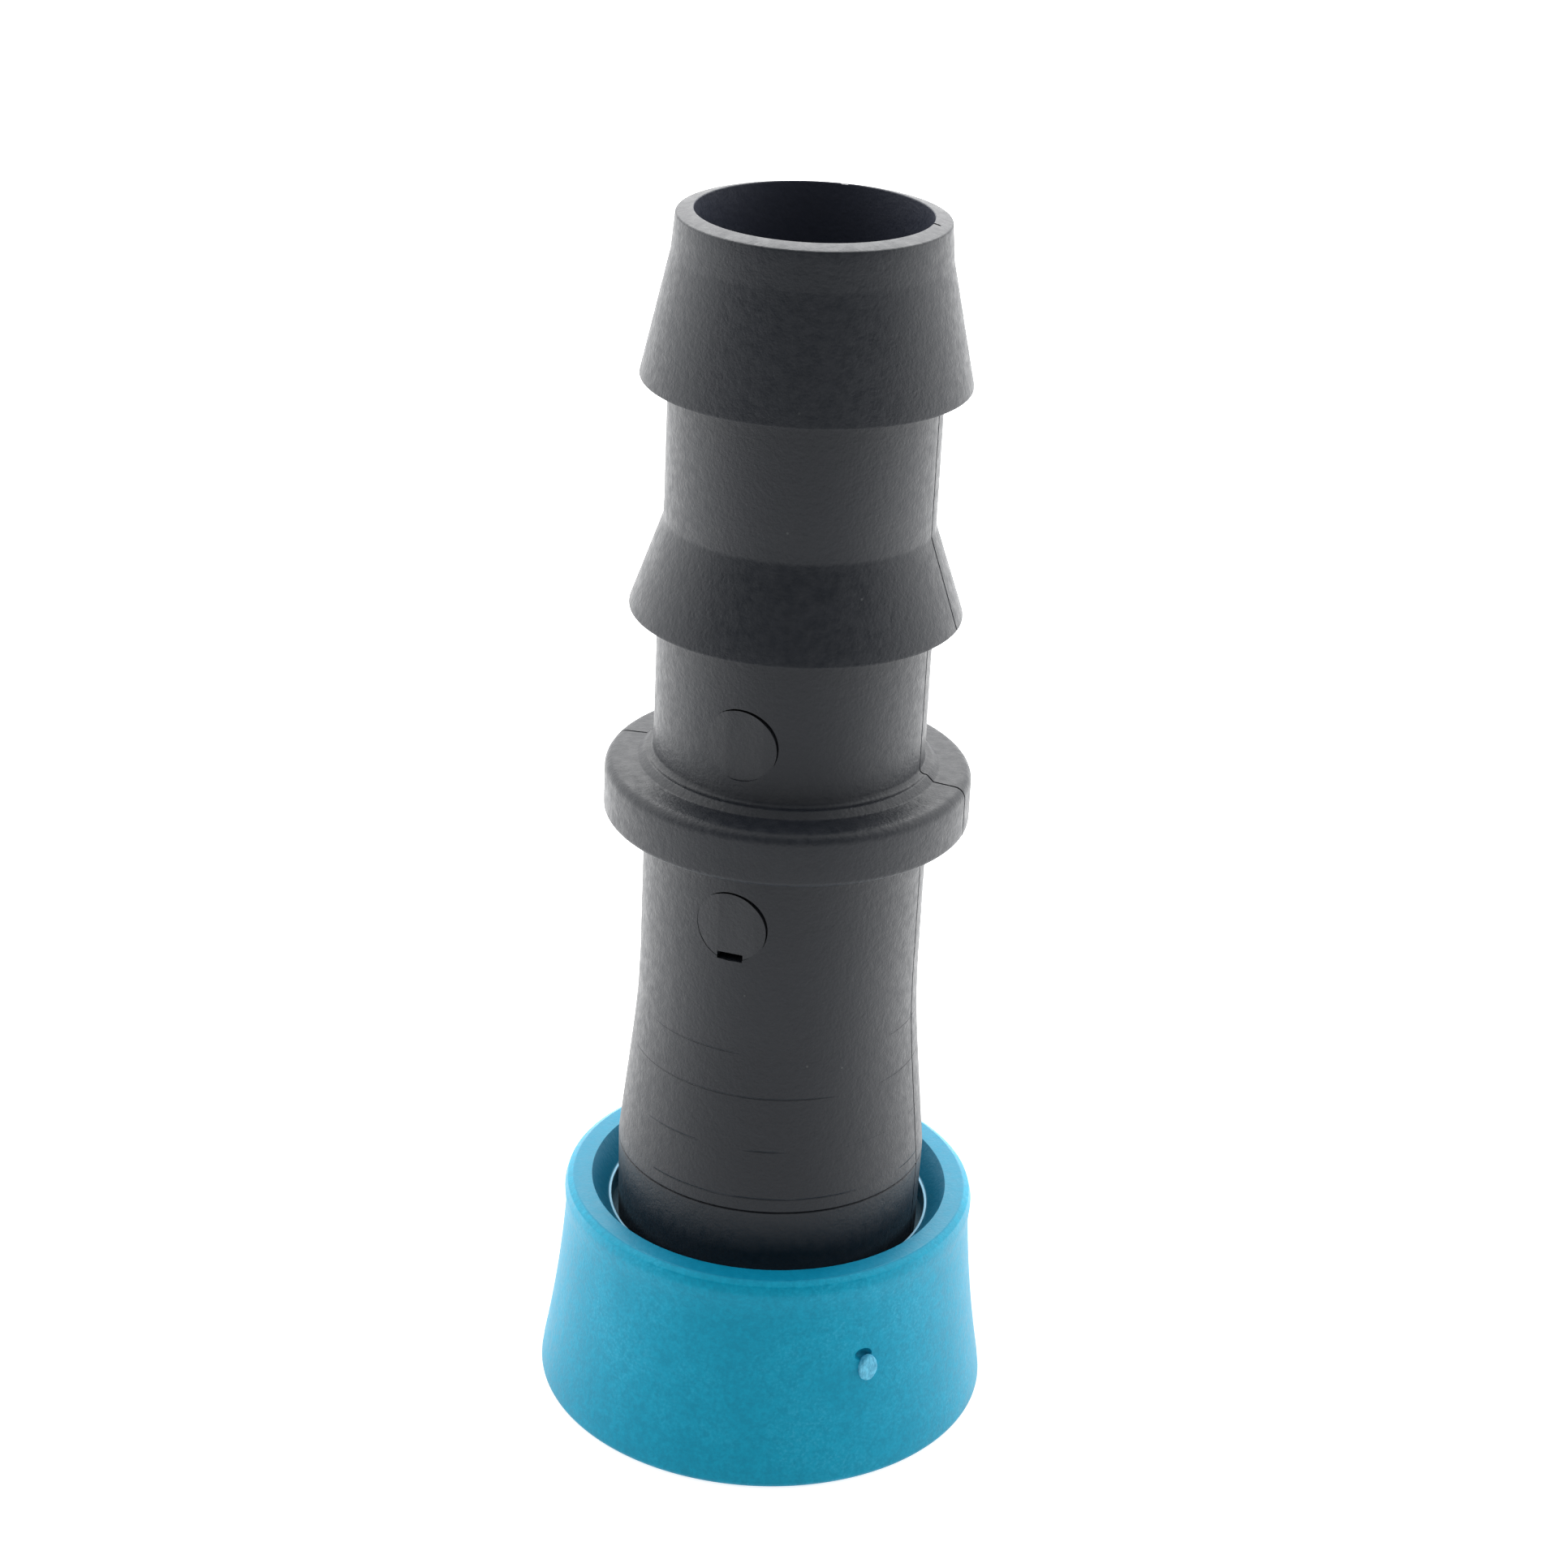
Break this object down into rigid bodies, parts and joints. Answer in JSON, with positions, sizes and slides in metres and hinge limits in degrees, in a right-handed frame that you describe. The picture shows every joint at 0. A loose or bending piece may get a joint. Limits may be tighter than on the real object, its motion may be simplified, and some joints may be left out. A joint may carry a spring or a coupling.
{
  "type": "barbed drip pipe connector",
  "caption": "Straight barbed connector for 16 mm drip pipe: twin-barb end, flange, bulged spigot, and a loose flared locking ring round the spigot.",
  "frame": {"origin": "centre of the circle that the spigot's end face and the ring's base stand on", "axes": "+Z runs along the bore from the spigot end to the barbed end; -Y is the side towards the viewer; the ring's gate nub is 30 degrees from -Y towards +X"},
  "size_m": [0.0224, 0.0224, 0.0598],
  "materials": {
    "body_plastic": "matte dark charcoal grey with a fine moulded grain",
    "ring_plastic": "satin turquoise blue with faint speckle"
  },
  "bodies": {
    "connector_body": {"connector_body": "body_plastic"},
    "locking_ring": {"locking_ring": "ring_plastic"}
  },
  "joints": [
    {"name": "ring_slide", "type": "slide", "parent": "connector_body", "child": "locking_ring", "axis": [0, 0, 1], "range_m": [0, 0.02]}
  ]
}
